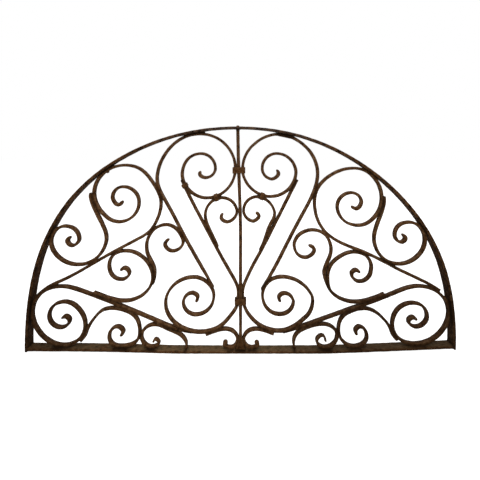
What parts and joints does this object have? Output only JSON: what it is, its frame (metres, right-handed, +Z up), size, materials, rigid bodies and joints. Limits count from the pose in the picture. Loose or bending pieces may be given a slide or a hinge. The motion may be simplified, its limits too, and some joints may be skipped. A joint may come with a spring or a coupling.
{
  "type": "transom window grille",
  "caption": "Arched transom window grille of forged flat iron: paired scrolls bedded on each other round an upright bar, in a semicircular strap frame with a straight sill.",
  "frame": {"origin": "under the middle of the sill, half way through its depth", "axes": "+X to the right seen from the front, +Z up, the front faces -Y"},
  "size_m": [1.2054, 0.032, 0.6388],
  "materials": {
    "frame_iron": "old forged iron strap, rusted brown with darker stained patches",
    "bar_iron": "old forged flat iron, brown rust worn smoother on the edges",
    "band_iron": "old forged iron, brown rust, darker where the pieces meet"
  },
  "bodies": {
    "root": {"arch_bar": "frame_iron", "sill_bar": "frame_iron", "centre_bar": "bar_iron", "upper_ring_scroll_left": "bar_iron", "upper_ring_scroll_right": "bar_iron", "lower_ring_scroll_left": "bar_iron", "lower_ring_scroll_right": "bar_iron", "heart_scroll_left": "bar_iron", "heart_scroll_right": "bar_iron", "shoulder_scroll_left": "bar_iron", "shoulder_scroll_right": "bar_iron", "haunch_scroll_left": "bar_iron", "haunch_scroll_right": "bar_iron", "corner_scroll_left": "bar_iron", "corner_scroll_right": "bar_iron", "sill_s_scroll_left": "bar_iron", "sill_s_scroll_right": "bar_iron", "middle_c_scroll_left": "bar_iron", "middle_c_scroll_right": "bar_iron", "small_s_scroll_left": "bar_iron", "small_s_scroll_right": "bar_iron", "sill_c_scroll_left": "bar_iron", "sill_c_scroll_right": "bar_iron", "foot_c_scroll_left": "bar_iron", "foot_c_scroll_right": "bar_iron", "upper_collar": "band_iron", "lower_collar": "band_iron", "ring_clip_left": "band_iron", "ring_clip_right": "band_iron", "tail_clip": "band_iron", "shoulder_rivet": "band_iron", "crown_packer_left": "band_iron", "crown_packer_right": "band_iron"}
  },
  "joints": []
}
